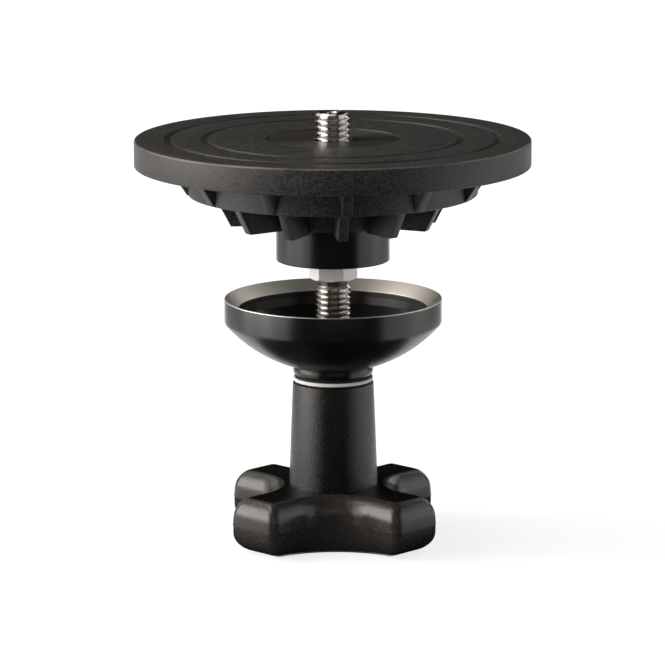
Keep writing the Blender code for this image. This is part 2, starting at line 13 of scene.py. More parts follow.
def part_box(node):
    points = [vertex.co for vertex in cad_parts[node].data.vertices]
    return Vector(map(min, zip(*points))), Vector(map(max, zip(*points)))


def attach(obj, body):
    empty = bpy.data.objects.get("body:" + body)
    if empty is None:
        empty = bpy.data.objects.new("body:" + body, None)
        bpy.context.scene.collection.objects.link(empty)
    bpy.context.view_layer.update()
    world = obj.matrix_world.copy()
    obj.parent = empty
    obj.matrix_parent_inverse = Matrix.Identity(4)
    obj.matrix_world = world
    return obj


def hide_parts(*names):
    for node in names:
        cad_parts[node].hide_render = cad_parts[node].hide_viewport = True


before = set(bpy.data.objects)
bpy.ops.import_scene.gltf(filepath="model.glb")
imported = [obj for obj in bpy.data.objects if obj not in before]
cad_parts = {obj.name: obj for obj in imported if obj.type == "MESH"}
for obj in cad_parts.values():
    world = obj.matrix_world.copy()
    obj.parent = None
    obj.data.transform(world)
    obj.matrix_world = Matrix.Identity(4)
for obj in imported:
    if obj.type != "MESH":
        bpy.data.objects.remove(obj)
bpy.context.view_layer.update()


# Camera
# A long lens about 1.1 m away, looking down by 11.4 degrees and turned by a hair, as the ellipses of the
# plate, the ring and the cup show.

PHOTO_WIDTH = 665
CAMERA_DISTANCE = 1.1
CAMERA_PITCH = math.radians(11.38)
CAMERA_ROLL = math.radians(0.138)
FOCAL_PIXELS = 4049.3
AXIS_PIXEL = 333.13
AIM_HEIGHT = 0.0572
SENSOR_WIDTH = 36
NEAREST_SEEN = 0.01

lens = bpy.data.cameras.new("camera")
lens.sensor_width = SENSOR_WIDTH
lens.lens = SENSOR_WIDTH * FOCAL_PIXELS / PHOTO_WIDTH
lens.shift_x = -(AXIS_PIXEL - PHOTO_WIDTH / 2) / PHOTO_WIDTH
lens.clip_start = NEAREST_SEEN
camera = bpy.data.objects.new("camera", lens)
bpy.context.scene.collection.objects.link(camera)
camera.matrix_world = (
    Matrix.Translation(
        (
            0,
            -CAMERA_DISTANCE * math.cos(CAMERA_PITCH),
            AIM_HEIGHT + CAMERA_DISTANCE * math.sin(CAMERA_PITCH),
        )
    )
    @ Matrix.Rotation(math.pi / 2 - CAMERA_PITCH, 4, "X")
    @ Matrix.Rotation(-CAMERA_ROLL, 4, "Z")
)
bpy.context.scene.camera = camera
bpy.context.scene.view_settings.view_transform = "Standard"


# Studio
# Softboxes stand on the left, the strongest, and behind on both sides, with low panels close by and others
# in front and overhead. Black cloth hangs and lies round the set, where only gloss shows it. The floor and
# the backdrop are white.

LAMP_DISTANCE = 1.3
LOW_PANEL_DISTANCE = 0.3
LAMP_COLOUR = "#fff8f1"
# Each lamp has its name, azimuth (clockwise from the photographer, seen from above), elevation, half width
# and half height, all in degrees, and then its distance and brightness.
SOFTBOXES = (
    ("left_softbox", 87, 21, 20, 19, LAMP_DISTANCE, 5.2),
    ("left_front_strip", 54, 16, 9, 16, LAMP_DISTANCE, 2.6),
    ("left_back_softbox", 141, 25, 11, 16, LAMP_DISTANCE, 0.9),
    ("right_back_softbox", -142, 27, 11, 13, LAMP_DISTANCE, 1.5),
    ("front_panel", -8, 14, 26, 13, LAMP_DISTANCE, 0.35),
    ("overhead_softbox", 104, 62, 22, 12, LAMP_DISTANCE, 2.8),
    ("left_front_low_panel", 70, 0, 8, 15, LOW_PANEL_DISTANCE, 1.6),
    ("left_low_panel", 92, 0, 13, 15, LOW_PANEL_DISTANCE, 0.45),
    ("right_low_panel", -97, 0, 15, 15, LOW_PANEL_DISTANCE, 0.5),
)
PANEL_CLEARANCE = 0.003
# Each cloth has its name, an outline of (distance, height) points, and its first and last azimuth in degrees.
CLOTHS = (
    ("front_cloth", [(0.036, 0.0008), (1.6, 0.0008), (1.7, 0.1), (1.7, 2.2), (0.8, 3.2)], -52, 46),
    ("right_cloth", [(1.9, 1.7), (1.9, 2.4), (0.8, 3.3)], -150, -46),
    ("left_table_cloth", [(0.29, 0.001), (0.48, 0.001)], 104, 152),
    ("right_table_cloth", [(0.29, 0.001), (0.5, 0.001)], -152, -104),
    ("back_cloth", [(2.4, 0.0), (2.4, 1.5), (1.9, 2.9)], 122, 238),
    ("foot_cloth", [(0.0164, 0.0003), (0.036, 0.0012), (0.064, 0.0012)], 0, 360),
)
CLOTH_STEPS = 24
# The backdrop's glow on the object, and the floor's own glow near the object and far from it.
FILL_LIGHT = 0.24
NEAR_GLOW = 0.78
FAR_GLOW = 0.95
NEAR_GLOW_REACH = 0.15
FAR_GLOW_START = 1.6
FLOOR_RADIUS = 6


def linear(hex_colour):
    """A colour written as sRGB hex, in the linear values that shaders take."""
    channels = [int(hex_colour[i : i + 2], 16) / 255 for i in (1, 3, 5)]
    return (*[c / 12.92 if c <= 0.04045 else ((c + 0.055) / 1.055) ** 2.4 for c in channels], 1)


def add_node(tree, kind, inputs=None, **settings):
    """Adds a node. Each input is a value, or another node's output to link to it."""
    made = tree.nodes.new(kind)
    for name, value in settings.items():
        setattr(made, name, value)
    for name, value in (inputs or {}).items():
        if isinstance(value, bpy.types.NodeSocket):
            tree.links.new(value, made.inputs[name])
        else:
            made.inputs[name].default_value = value
    return made


def new_finish(name):
    """A new material, with its node tree and its shader."""
    made = bpy.data.materials.new(name)
    made.use_nodes = True
    return made, made.node_tree, made.node_tree.nodes["Principled BSDF"]


def make_object(name, shape, *finishes):
    """Turns a shape into an object in the scene, with these materials."""
    mesh = bpy.data.meshes.new(name)
    shape.to_mesh(mesh)
    shape.free()
    for finish in finishes:
        mesh.materials.append(finish)
    made = bpy.data.objects.new(name, mesh)
    bpy.context.scene.collection.objects.link(made)
    return made


def seen_directly(tree):
    """One for a ray from the camera, off gloss or through glass, and nought for soft light on the object."""
    ray = add_node(tree, "ShaderNodeLightPath").outputs
    gloss = {0: ray["Is Camera Ray"], 1: ray["Is Glossy Ray"]}
    either = add_node(tree, "ShaderNodeMath", gloss, operation="MAXIMUM")
    glass = {0: either.outputs[0], 1: ray["Is Transmission Ray"]}
    return add_node(tree, "ShaderNodeMath", glass, operation="MAXIMUM").outputs[0]


def softbox(name, azimuth, elevation, half_width, half_height, distance, brightness):
    """A rectangular lamp turned to the object. A low one stands on the floor."""
    lamp = bpy.data.lights.new(name, "AREA")
    lamp.shape = "RECTANGLE"
    lamp.size = 2 * distance * math.tan(math.radians(half_width))
    lamp.size_y = 2 * distance * math.tan(math.radians(half_height))
    lamp.energy = brightness * math.pi * lamp.size * lamp.size_y
    lamp.color = linear(LAMP_COLOUR)[:3]
    holder = bpy.data.objects.new(name, lamp)
    bpy.context.scene.collection.objects.link(holder)
    turn, rise = math.radians(azimuth), math.radians(elevation)
    away = Vector((-math.sin(turn) * math.cos(rise), -math.cos(turn) * math.cos(rise), math.sin(rise)))
    middle = away * distance
    middle.z = max(middle.z + AIM_HEIGHT, lamp.size_y / 2 * math.cos(rise) + PANEL_CLEARANCE)
    holder.matrix_world = Matrix.Translation(middle) @ away.to_track_quat("Z", "Y").to_matrix().to_4x4()
    holder.visible_camera = False


for box in SOFTBOXES:
    softbox(*box)

world = bpy.data.worlds.new("studio")
bpy.context.scene.world = world
world.use_nodes = True
sky = world.node_tree
sky_strength = add_node(
    sky,
    "ShaderNodeMapRange",
    {"Value": seen_directly(sky), "To Min": FILL_LIGHT, "To Max": 1.0},
)
sky.nodes["Background"].inputs["Color"].default_value = (1, 1, 1, 1)
sky.links.new(sky_strength.outputs[0], sky.nodes["Background"].inputs["Strength"])

floor_paint, paint, shader = new_finish("white_floor")
shader.inputs["Base Color"].default_value = linear("#a8abb0")
shader.inputs["Roughness"].default_value = 0.9
shader.inputs["Emission Color"].default_value = (1, 1, 1, 1)
from_object = add_node(
    paint,
    "ShaderNodeVectorMath",
    {0: add_node(paint, "ShaderNodeTexCoord").outputs["Object"]},
    operation="LENGTH",
)
sweep_glow = add_node(
    paint,
    "ShaderNodeMapRange",
    {
        "Value": from_object.outputs["Value"],
        "From Min": NEAR_GLOW_REACH,
        "From Max": FAR_GLOW_START,
        "To Min": NEAR_GLOW,
        "To Max": FAR_GLOW,
    },
)
glow = add_node(
    paint,
    "ShaderNodeMath",
    {0: sweep_glow.outputs[0], 1: seen_directly(paint)},
    operation="MULTIPLY",
)
paint.links.new(glow.outputs[0], shader.inputs["Emission Strength"])

floor_shape = bmesh.new()
bmesh.ops.create_circle(floor_shape, cap_ends=True, segments=64, radius=FLOOR_RADIUS)
floor = make_object("floor", floor_shape, floor_paint)

cloth, _, shader = new_finish("black_cloth")
shader.inputs["Base Color"].default_value = linear("#0a0a0a")
shader.inputs["Roughness"].default_value = 1
shader.inputs["Specular IOR Level"].default_value = 0


def black_screen(name, outline, first, last):
    """Cloth round part of the set, from an outline of (distance, height) points. The camera sees past it."""
    shape = bmesh.new()
    points = [shape.verts.new((0, -distance, height)) for distance, height in outline]
    edges = [shape.edges.new(pair) for pair in zip(points, points[1:])]
    start = Matrix.Rotation(-math.radians(first), 3, "Z")
    bmesh.ops.rotate(shape, verts=points, cent=(0, 0, 0), matrix=start)
    bmesh.ops.spin(
        shape,
        geom=points + edges,
        cent=(0, 0, 0),
        axis=(0, 0, 1),
        angle=-math.radians(last - first),
        steps=CLOTH_STEPS,
    )
    screen = make_object(name, shape, cloth)
    screen.visible_camera = False
    screen.visible_diffuse = False
    screen.visible_shadow = False


for sheet in CLOTHS:
    black_screen(*sheet)


# Plate
# One aluminium die casting: a disc with a ring, a hub and twelve ribs under it, which sit in a tripod's bowl.
# The top is turned flat with two grooves. All of it is powder coated black in a fine texture.

PLATE_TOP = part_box("top_plate")[1].z
PLATE_UNDERSIDE = PLATE_TOP - 0.0072
PLATE_RADIUS = 0.0535
GROOVE_RADII = (0.03455, 0.04445)
GROOVE_HALF_WIDTH = 0.00095
GROOVE_HALF_FLOOR = 0.00088
GROOVE_DEPTH = 0.0011
GROOVE_ROUNDING = 0.0001
TOP_EDGE = 0.00065
BOTTOM_EDGE = 0.0003
CAST_EDGE = 0.0005
CAST_FILLET = 0.0008
# Where the greyer band round the top's edge starts and ends: partly wear, partly a painted highlight.
RUB_AND_HIGHLIGHT_REACH = (0.00055, 0.0004)
RING_OUTSIDE = 0.0392
RING_INSIDE = 0.033
RING_DEPTH = 0.0078
RING_BOTTOM = PLATE_UNDERSIDE - RING_DEPTH
HUB_OUTSIDE = 0.0185
HUB_BORE = 0.0157
HUB_BOTTOM = RING_BOTTOM - 0.0079
FLANGE_SEAT = PLATE_TOP - 0.00435
FLANGE_POCKET = 0.018
POCKET_EDGE = 0.00015
RIBS = 12
FIRST_RIB = math.radians(-90 + 5.4)
RIB_FOOT = RING_BOTTOM - 0.0085
RIB_TOP_REACH = 0.0326
RIB_FOOT_REACH = 0.0277
RIB_THICKNESS = 0.0027
ROOT_IN_RING = 0.001
ROOT_IN_HUB = 0.0012
ROOT_IN_PLATE = 0.001
RIB_IN_RING = 0.003
RIB_STEP = 0.0008
GUSSET_STEP = 0.0002
RIB_EDGE = 0.0002
GUSSET_SPREAD = 0.0052
GUSSET_EDGE_WIDTH = 0.0028
GUSSET_ROOT_WIDTH = 0.0044
PLATE_SEGMENTS = 240
COAT_GRAIN = 0.00025
SAME_POINT = 0.000001


def turn_outline(bm, corners, segments, closed=True):
    """Turns an outline of (radius, height, rounding) corners about Z. An open one starts and ends on Z."""
    points = [bm.verts.new((radius, 0, height)) for radius, height, _ in corners]
    for pair in zip(points, points[1:] + points[: int(closed)]):
        bm.edges.new(pair)
    for rounding in sorted({corner[2] for corner in corners} - {0}):
        bmesh.ops.bevel(
            bm,
            geom=[point for point, corner in zip(points, corners) if corner[2] == rounding],
            offset=rounding,
            offset_type="OFFSET",
            segments=4,
            profile=0.5,
            affect="VERTICES",
            material=-1,
        )
    bmesh.ops.spin(
        bm,
        geom=bm.verts[:] + bm.edges[:],
        cent=(0, 0, 0),
        axis=(0, 0, 1),
        angle=2 * math.pi,
        steps=segments,
        use_merge=True,
    )


def finish_piece(name, bm, body, slot, *finishes, crease=28):
    """Makes the piece's object, smooth but for its creases, and rides it on its body."""
    bmesh.ops.remove_doubles(bm, verts=bm.verts, dist=SAME_POINT)
    bmesh.ops.recalc_face_normals(bm, faces=bm.faces)
    made = make_object(name, bm, *finishes)
    made.data.shade_smooth()
    made.data.set_sharp_from_angle(angle=math.radians(crease))
    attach(made, body)
    return made


def add_slab(bm, outline, thickness, edge):
    """A flat slab from an outline of (radius, height) points, edges eased. Returns its new vertices."""
    before = set(bm.verts)
    face = bm.faces.new([bm.verts.new((radius, -thickness / 2, height)) for radius, height in outline])
    grown = bmesh.ops.extrude_face_region(bm, geom=[face])["geom"]
    far_side = [v for v in grown if isinstance(v, bmesh.types.BMVert)]
    bmesh.ops.translate(bm, verts=far_side, vec=(0, thickness, 0))
    sides = {e for v in bm.verts if v not in before for e in v.link_edges}
    bmesh.ops.bevel(
        bm,
        geom=list(sides),
        offset=edge,
        offset_type="OFFSET",
        segments=2,
        profile=0.5,
        affect="EDGES",
        material=-1,
        clamp_overlap=True,
    )
    return [v for v in bm.verts if v not in before]


def out_and_up(tree, place):
    """The distance from Z and the height, added, which grow across flat faces and along the sides alike."""
    flat = add_node(tree, "ShaderNodeVectorMath", {0: place, 1: (1, 1, 0)}, operation="MULTIPLY")
    across = add_node(tree, "ShaderNodeVectorMath", {0: flat.outputs[0]}, operation="LENGTH")
    height = add_node(tree, "ShaderNodeSeparateXYZ", {0: place})
    both = {0: across.outputs["Value"], 1: height.outputs["Z"]}
    return add_node(tree, "ShaderNodeMath", both, operation="ADD").outputs[0]


# Powder coat over a die casting: black and matt, with a fine even grain that breaks up its sheen. The top's
# edge is rubbed smoother, and greyer there in patches, partly as wear and partly as a painted highlight.
powder_coat, tree, shader = new_finish("powder_coated_die_casting")
place = add_node(tree, "ShaderNodeTexCoord").outputs["Object"]
grain = add_node(tree, "ShaderNodeTexVoronoi", {"Vector": place, "Scale": 1 / COAT_GRAIN})
cloud = add_node(tree, "ShaderNodeTexNoise", {"Vector": place, "Scale": 70, "Detail": 4})
shade = add_node(tree, "ShaderNodeValToRGB", {"Fac": grain.outputs["Color"]})
shade.color_ramp.elements[0].position = 0.36
shade.color_ramp.elements[0].color = linear("#060606")
shade.color_ramp.elements[1].position = 0.64
shade.color_ramp.elements[1].color = linear("#403e3b")
edge_reach = PLATE_RADIUS + PLATE_TOP
rubbed_and_lit_edge = add_node(
    tree,
    "ShaderNodeMapRange",
    {
        "Value": out_and_up(tree, place),
        "From Min": edge_reach - RUB_AND_HIGHLIGHT_REACH[0],
        "From Max": edge_reach - RUB_AND_HIGHLIGHT_REACH[1],
    },
)
patchy = add_node(
    tree,
    "ShaderNodeMapRange",
    {"Value": cloud.outputs["Fac"], "From Min": 0.3, "From Max": 0.6},
)
wear_and_painted_highlight = add_node(
    tree,
    "ShaderNodeMath",
    {0: rubbed_and_lit_edge.outputs[0], 1: patchy.outputs[0]},
    operation="MULTIPLY",
)
# The greyer colour along the top's edge is partly wear and partly a painted highlight.
coat = add_node(
    tree,
    "ShaderNodeMix",
    {"Factor": wear_and_painted_highlight.outputs[0], 6: shade.outputs["Color"], 7: linear("#6e6963")},
    data_type="RGBA",
)
tree.links.new(coat.outputs[2], shader.inputs["Base Color"])
dull = add_node(
    tree,
    "ShaderNodeMapRange",
    {"Value": cloud.outputs["Fac"], "To Min": 0.23, "To Max": 0.31},
)
polish = add_node(
    tree,
    "ShaderNodeMath",
    {0: wear_and_painted_highlight.outputs[0], 1: -0.27, 2: dull.outputs[0]},
    operation="MULTIPLY_ADD",
)
sparkle = add_node(
    tree,
    "ShaderNodeMath",
    {0: grain.outputs["Color"], 1: 0.4, 2: polish.outputs[0]},
    operation="MULTIPLY_ADD",
)
tree.links.new(sparkle.outputs[0], shader.inputs["Roughness"])
pits = add_node(
    tree,
    "ShaderNodeBump",
    {"Height": grain.outputs["Distance"], "Strength": 1.0, "Distance": 0.00005},
)
tree.links.new(pits.outputs[0], shader.inputs["Normal"])
shader.inputs["IOR"].default_value = 1.5

casting = bmesh.new()
plate_corners = [
    (HUB_BORE, FLANGE_SEAT, 0),
    (HUB_BORE, HUB_BOTTOM, BOTTOM_EDGE),
    (HUB_OUTSIDE, HUB_BOTTOM, CAST_EDGE),
    (HUB_OUTSIDE, PLATE_UNDERSIDE, CAST_FILLET),
    (RING_INSIDE, PLATE_UNDERSIDE, CAST_FILLET),
    (RING_INSIDE, RING_BOTTOM, CAST_EDGE),
    (RING_OUTSIDE, RING_BOTTOM, CAST_EDGE),
    (RING_OUTSIDE, PLATE_UNDERSIDE, CAST_FILLET),
    (PLATE_RADIUS, PLATE_UNDERSIDE, BOTTOM_EDGE),
    (PLATE_RADIUS, PLATE_TOP, TOP_EDGE),
]
for radius in reversed(GROOVE_RADII):
    plate_corners += [
        (radius + GROOVE_HALF_WIDTH, PLATE_TOP, GROOVE_ROUNDING),
        (radius + GROOVE_HALF_FLOOR, PLATE_TOP - GROOVE_DEPTH, GROOVE_ROUNDING),
        (radius - GROOVE_HALF_FLOOR, PLATE_TOP - GROOVE_DEPTH, GROOVE_ROUNDING),
        (radius - GROOVE_HALF_WIDTH, PLATE_TOP, GROOVE_ROUNDING),
    ]
plate_corners += [(FLANGE_POCKET, PLATE_TOP, POCKET_EDGE), (FLANGE_POCKET, FLANGE_SEAT, 0)]
turn_outline(casting, plate_corners, PLATE_SEGMENTS)
turned_verts = set(casting.verts)
add_slab(
    casting,
    [
        (HUB_OUTSIDE - ROOT_IN_HUB, PLATE_UNDERSIDE + ROOT_IN_PLATE),
        (RING_INSIDE + RIB_IN_RING, PLATE_UNDERSIDE + ROOT_IN_PLATE),
        (RING_INSIDE + RIB_IN_RING, RING_BOTTOM + RIB_STEP),
        (RIB_TOP_REACH, RING_BOTTOM + RIB_STEP),
        (RIB_FOOT_REACH, RIB_FOOT),
        (HUB_OUTSIDE - ROOT_IN_HUB, RIB_FOOT),
    ],
    RIB_THICKNESS,
    RIB_EDGE,
)
gusset_verts = add_slab(
    casting,
    [
        (RING_OUTSIDE - ROOT_IN_RING, PLATE_UNDERSIDE + ROOT_IN_PLATE),
        (RING_OUTSIDE + GUSSET_SPREAD * (1 + ROOT_IN_PLATE / RING_DEPTH), PLATE_UNDERSIDE + ROOT_IN_PLATE),
        (RING_OUTSIDE + GUSSET_STEP, RING_BOTTOM + GUSSET_STEP),
        (RING_OUTSIDE - ROOT_IN_RING, RING_BOTTOM + GUSSET_STEP),
    ],
    GUSSET_EDGE_WIDTH,
    RIB_EDGE,
)
for vert in gusset_verts:
    behind_face = RING_OUTSIDE + GUSSET_SPREAD * (vert.co.z - RING_BOTTOM) / RING_DEPTH - vert.co.x
    vert.co.y *= 1 + (GUSSET_ROOT_WIDTH / GUSSET_EDGE_WIDTH - 1) * max(behind_face, 0) / GUSSET_SPREAD
rib_verts = [v for v in casting.verts if v not in turned_verts]
bmesh.ops.rotate(casting, verts=rib_verts, cent=(0, 0, 0), matrix=Matrix.Rotation(FIRST_RIB, 3, "Z"))
rib_edges = list({e for v in rib_verts for e in v.link_edges})
rib_faces = list({f for v in rib_verts for f in v.link_faces})
bmesh.ops.spin(
    casting,
    geom=rib_verts + rib_edges + rib_faces,
    cent=(0, 0, 0),
    axis=(0, 0, 1),
    angle=2 * math.pi * (RIBS - 1) / RIBS,
    steps=RIBS - 1,
    use_duplicate=True,
)
plate = finish_piece("plate_casting", casting, "adapter", "powder_coated_casting", powder_coat)
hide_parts("top_plate")


# Core
# A turned aluminium boss with a flange let into the plate's top, black anodised. It carries the stud.

CORE_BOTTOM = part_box("centre_core")[0].z
CORE_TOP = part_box("centre_core")[1].z
BOSS_RADIUS = 0.0154
FLANGE_RADIUS = 0.01757
FLANGE_BOTTOM = CORE_TOP - 0.004
CORE_BORE = 0.0053
FLANGE_EDGE = 0.0001
CORE_EDGE = 0.0003
FACED_DEPTH = 0.00025
CORE_SEGMENTS = 192
QUARTER_TURN = 0.25


def turned_finish(name, dark, light, roughness, ring_spacing, ring_depth, metal, index, stretch=0):
    """Turned metal, with fine rings round Z from the tool's feed. Stretch draws highlights across them."""
    made, tree, shader = new_finish(name)
    place = add_node(tree, "ShaderNodeTexCoord").outputs["Object"]
    rings = add_node(
        tree,
        "ShaderNodeTexNoise",
        {"W": out_and_up(tree, place), "Scale": 1 / ring_spacing, "Detail": 2, "Roughness": 0.6},
        noise_dimensions="1D",
    )
    speckle = add_node(
        tree,
        "ShaderNodeTexNoise",
        {"Vector": place, "Scale": 3000, "Detail": 2, "Roughness": 0.6},
    )
    cloud = add_node(tree, "ShaderNodeTexNoise", {"Vector": place, "Scale": 90, "Detail": 4})
    shade = add_node(
        tree,
        "ShaderNodeMix",
        {"Factor": speckle.outputs["Fac"], 6: linear(dark), 7: linear(light)},
        data_type="RGBA",
    )
    tree.links.new(shade.outputs[2], shader.inputs["Base Color"])
    dull = add_node(
        tree,
        "ShaderNodeMapRange",
        {"Value": cloud.outputs["Fac"], "To Min": roughness - 0.04, "To Max": roughness + 0.06},
    )
    tree.links.new(dull.outputs[0], shader.inputs["Roughness"])
    relief = add_node(
        tree,
        "ShaderNodeMath",
        {0: rings.outputs["Fac"], 1: speckle.outputs["Fac"]},
        operation="ADD",
    )
    cut = add_node(
        tree,
        "ShaderNodeBump",
        {"Height": relief.outputs[0], "Strength": 0.5, "Distance": ring_depth},
    )
    tree.links.new(cut.outputs[0], shader.inputs["Normal"])
    shader.inputs["Metallic"].default_value = metal
    shader.inputs["IOR"].default_value = index
    if stretch:
        shader.inputs["Anisotropic"].default_value = stretch
        shader.inputs["Anisotropic Rotation"].default_value = QUARTER_TURN
        around = add_node(tree, "ShaderNodeTangent", direction_type="RADIAL", axis="Z")
        tree.links.new(around.outputs[0], shader.inputs["Tangent"])
    return made


# Black anodising on turned aluminium: satin, nearly black, with faint rings from the lathe 0.25 mm apart.
black_anodising = turned_finish(
    "black_anodised_aluminium",
    dark="#0c0b0b",
    light="#191817",
    roughness=0.29,
    ring_spacing=0.00025,
    ring_depth=0.00002,
    metal=0.0,
    index=1.53,
    stretch=0.7,
)

# The flange's top is faced off, which leaves it a little duller than the turned sides; its greyer colour is a
# painted sheen.
faced_anodising_painted_sheen = turned_finish(
    "black_anodised_facing_painted_sheen",
    dark="#23211f",
    light="#3a3836",
    roughness=0.36,
    ring_spacing=0.0003,
    ring_depth=0.00002,
    metal=0.0,
    index=1.6,
    stretch=0.7,
)

core_shape = bmesh.new()
turn_outline(
    core_shape,
    [
        (CORE_BORE, CORE_BOTTOM, 0),
        (BOSS_RADIUS, CORE_BOTTOM, CORE_EDGE),
        (BOSS_RADIUS, FLANGE_BOTTOM, 0),
        (FLANGE_RADIUS, FLANGE_BOTTOM, 0),
        (FLANGE_RADIUS, CORE_TOP, FLANGE_EDGE),
        (CORE_BORE, CORE_TOP, CORE_EDGE),
    ],
    CORE_SEGMENTS,
)
# The flange's top faces take the faced finish, whose greyer colour is a painted sheen.
for face in core_shape.faces:
    if face.calc_center_median().z > CORE_TOP - FACED_DEPTH:
        face.material_index = 1
core = finish_piece("turned_core", core_shape, "adapter", "anodised_core", black_anodising, faced_anodising_painted_sheen)
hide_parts("centre_core")


# Set screws
# Two grub screws with hexagon sockets, run in through the hub at the back, in their CAD shapes.

# Black oxide on steel: dark, with a dull metallic gleam.
black_oxide = turned_finish(
    "black_oxide_steel",
    dark="#1b1b1d",
    light="#2a2a2c",
    roughness=0.42,
    ring_spacing=0.0003,
    ring_depth=0.000008,
    metal=0.8,
    index=1.5,
)
for name in ("set_screw_1", "set_screw_2"):
    screw_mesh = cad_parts[name].data
    screw_mesh.materials.clear()
    screw_mesh.materials.append(black_oxide)


# Stud
# One steel stud: a 3/8-16 thread above for the camera head, a hexagon collar pulled up tight under the core,
# and an M10 thread below for the handle. The threads are cut bright. The collar keeps the bar's drawn faces.

STUD_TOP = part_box("stud")[1].z
STUD_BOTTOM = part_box("stud")[0].z
HEAD_RADIUS = 0.00476
HEAD_PITCH = 0.0015875
HEAD_THREAD_START = STUD_TOP - 0.0095
CLAMP_RADIUS = 0.0049
CLAMP_PITCH = 0.0015
HAIR = 0.00005
COLLAR_TOP = CORE_BOTTOM - HAIR
COLLAR_BOTTOM = COLLAR_TOP - 0.0053
COLLAR_FLATS = 0.0115
COLLAR_TURN = math.radians(-5)
CLAMP_THREAD_END = COLLAR_BOTTOM - 0.0013
TURN_STEPS = 72
THREAD_DEPTH = 0.6
# One tooth of a thread, in shares of the depth inwards and of the pitch upwards.
TOOTH = ((0, 0), (0, 0.2), (0.93, 0.53), (1, 0.57), (1, 0.62), (0.93, 0.66), (0, 1))
# The chamfers at each thread's lower and upper end.
HEAD_CHAMFERS = (0, 0.0006)
CLAMP_CHAMFERS = (0.0012, 0.0008)
ROOT_INSET = 0.0001
SHANK_STEP = 0.00015
SHANK_TAPER = 0.001
END_FACE_STEP = 0.0003
CENTRE_HOLE_RADIUS = 0.0016
CENTRE_HOLE_DEPTH = 0.0012
COLLAR_BEVEL = math.radians(30)
COLLAR_BEVEL_REACH = 0.0002
COLLAR_CUTS = 15


def add_shape(bm, part):
    """Adds one shape to another and frees it."""
    mesh = bpy.data.meshes.new("part")
    part.to_mesh(mesh)
    part.free()
    bm.from_mesh(mesh)
    bpy.data.meshes.remove(mesh)


def add_thread(bm, radius, pitch, bottom, top, end_chamfers):
    """A right-hand thread with 60 degree flanks, cut off flat at both ends and chamfered there."""
    threaded = bmesh.new()
    depth = THREAD_DEPTH * pitch
    points = [
        threaded.verts.new((radius - depth * inwards, 0, bottom - pitch + pitch * upwards))
        for inwards, upwards in TOOTH
    ]
    edges = [threaded.edges.new(pair) for pair in zip(points, points[1:])]
    turns = math.ceil((top - bottom) / pitch) + 2
    bmesh.ops.spin(
        threaded,
        geom=points + edges,
        cent=(0, 0, 0),
        axis=(0, 0, 1),
        dvec=(0, 0, pitch / TURN_STEPS),
        angle=2 * math.pi * turns,
        steps=turns * TURN_STEPS,
    )
    bmesh.ops.remove_doubles(threaded, verts=threaded.verts, dist=SAME_POINT)
    for height, outward in ((bottom, -1), (top, 1)):
        bmesh.ops.bisect_plane(
            threaded,
            geom=threaded.verts[:] + threaded.edges[:] + threaded.faces[:],
            plane_co=(0, 0, height),
            plane_no=(0, 0, outward),
            clear_outer=True,
        )
    for vert in threaded.verts:
        allowed = radius + 2 * HAIR
        for height, chamfer in zip((bottom, top), end_chamfers):
            allowed = min(allowed, radius - chamfer + abs(vert.co.z - height))
        across = math.hypot(vert.co.x, vert.co.y)
        if across > allowed:
            vert.co.x *= allowed / across
            vert.co.y *= allowed / across
    add_shape(bm, threaded)


# Bright steel, turned and plated: it reflects in upright bands, with faint tool marks.
bright_steel = turned_finish(
    "bright_plated_steel",
    dark="#cfccc7",
    light="#efece8",
    roughness=0.2,
    ring_spacing=0.0002,
    ring_depth=0.000006,
    metal=1.0,
    index=1.5,
    stretch=0.9,
)

# The collar's drawn faces: the same steel with a duller, pitted skin.
drawn_steel, tree, shader = new_finish("drawn_steel_flats")
place = add_node(tree, "ShaderNodeTexCoord").outputs["Object"]
pitting = add_node(
    tree,
    "ShaderNodeTexNoise",
    {"Vector": place, "Scale": 2200, "Detail": 4, "Roughness": 0.7},
)
shade = add_node(tree, "ShaderNodeValToRGB", {"Fac": pitting.outputs["Fac"]})
shade.color_ramp.elements[0].position = 0.3
shade.color_ramp.elements[0].color = linear("#efece7")
shade.color_ramp.elements[1].position = 0.55
shade.color_ramp.elements[1].color = linear("#fffefc")
tree.links.new(shade.outputs["Color"], shader.inputs["Base Color"])
dents = add_node(
    tree,
    "ShaderNodeBump",
    {"Height": pitting.outputs["Fac"], "Strength": 0.5, "Distance": 0.00004},
)
tree.links.new(dents.outputs[0], shader.inputs["Normal"])
shader.inputs["Metallic"].default_value = 0.6
shader.inputs["Roughness"].default_value = 0.58

stud_shape = bmesh.new()
head_root = HEAD_RADIUS - THREAD_DEPTH * HEAD_PITCH
clamp_root = CLAMP_RADIUS - THREAD_DEPTH * CLAMP_PITCH
turn_outline(
    stud_shape,
    [
        (0, STUD_BOTTOM, 0),
        (clamp_root, STUD_BOTTOM, 0),
        (clamp_root - ROOT_INSET, STUD_BOTTOM + SHANK_TAPER, 0),
        (clamp_root - ROOT_INSET, CLAMP_THREAD_END - SHANK_TAPER / 2, 0),
        (clamp_root + SHANK_STEP, CLAMP_THREAD_END, 0),
        (clamp_root + SHANK_STEP, COLLAR_BOTTOM + SHANK_TAPER, 0),
        (HEAD_RADIUS, COLLAR_TOP - SHANK_TAPER, 0),
        (HEAD_RADIUS, HEAD_THREAD_START, 0),
        (head_root - ROOT_INSET, HEAD_THREAD_START + SHANK_TAPER, 0),
        (head_root - ROOT_INSET, STUD_TOP - SHANK_TAPER, 0),
        (head_root + END_FACE_STEP, STUD_TOP, 0),
        (CENTRE_HOLE_RADIUS, STUD_TOP, 0.0002),
        (0.0005, STUD_TOP - CENTRE_HOLE_DEPTH + 0.0001, 0),
        (0, STUD_TOP - CENTRE_HOLE_DEPTH, 0),
    ],
    TURN_STEPS,
    closed=False,
)
